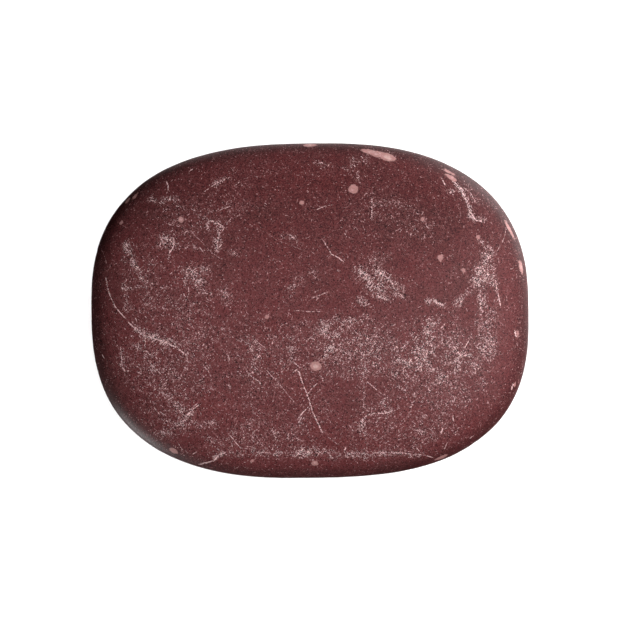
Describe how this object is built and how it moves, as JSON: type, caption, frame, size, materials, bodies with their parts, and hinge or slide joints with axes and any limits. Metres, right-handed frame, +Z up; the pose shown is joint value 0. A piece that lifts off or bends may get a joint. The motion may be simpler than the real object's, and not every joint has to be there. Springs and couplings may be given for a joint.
{
  "type": "tumbled flat rhyolite stone",
  "caption": "Flat, softly rectangular tumbled stone with crowned faces and rounded sides, lying on a small flat spot.",
  "frame": {"origin": "middle of the flat spot under the stone, at the bottom centre of its box", "axes": "+X along the stone's longest way, +Y across it, +Z up through its thickness"},
  "size_m": [0.06, 0.046, 0.0151],
  "materials": {
    "rhyolite": "tumble-polished to a satin gloss, maroon groundmass with pale pink feldspar grains, fine whitish scratches and dusty bruises"
  },
  "bodies": {
    "root": {"stone": "rhyolite"}
  },
  "joints": []
}
